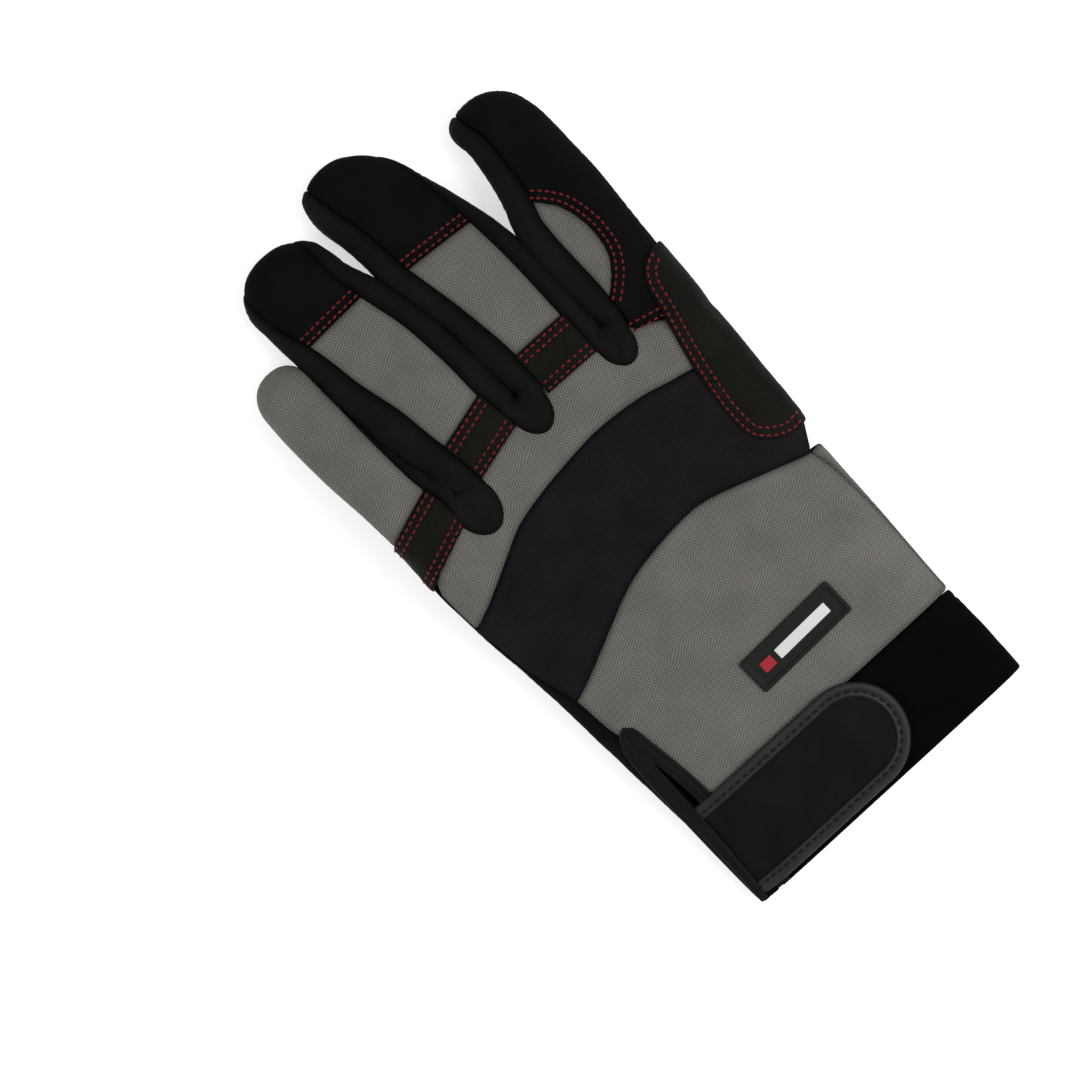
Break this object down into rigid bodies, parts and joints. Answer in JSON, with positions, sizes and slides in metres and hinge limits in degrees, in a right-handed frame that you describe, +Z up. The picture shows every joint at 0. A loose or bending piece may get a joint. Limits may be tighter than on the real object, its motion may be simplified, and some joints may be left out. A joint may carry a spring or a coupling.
{
  "type": "mechanic glove",
  "caption": "Left-hand mechanic's work glove with knit back, foam knuckle band, synthetic leather palm and a wrist strap, lying back up with the thumb folded under.",
  "frame": {"origin": "middle of the bounding box's bottom, on the floor the glove lies on", "axes": "+Y from the cuff to the fingertips, +X to the index finger's side, +Z up out of the back of the hand"},
  "size_m": [0.1192, 0.242, 0.0269],
  "materials": {
    "knit": "grey stretch mesh, dull",
    "leather": "black synthetic suede",
    "patch": "black synthetic suede patch with red double seams",
    "stretch": "black stretch cloth",
    "foam": "black knit over foam",
    "cuff": "black velvety elastic",
    "strap": "black moulded rubberised cloth with a ribbed edge",
    "binding": "black folded tape",
    "label": "black soft rubber with a raised edge"
  },
  "bodies": {
    "root": {"back_panel": "knit", "knuckle_panel": "knit", "middle_panel": "knit", "ring_panel": "knit", "little_panel": "knit", "index_window": "knit", "thumb_cloth": "knit", "palm_leather": "leather", "index_shell": "leather", "middle_cap": "leather", "ring_cap": "leather", "thumb_leather": "leather", "middle_strip": "patch", "ring_strip": "patch", "little_strip": "patch", "saddle_patch": "patch", "heel_pad": "patch", "finger_pad": "patch", "thumb_heel_patch": "patch", "side_wall_index_middle": "stretch", "side_wall_middle_ring": "stretch", "side_wall_ring_little": "stretch", "knuckle_band": "foam", "cuff_band": "cuff", "strap_tab": "strap", "strap_rim": "strap", "vent_binding": "binding", "label_plate": "label"}
  },
  "joints": []
}
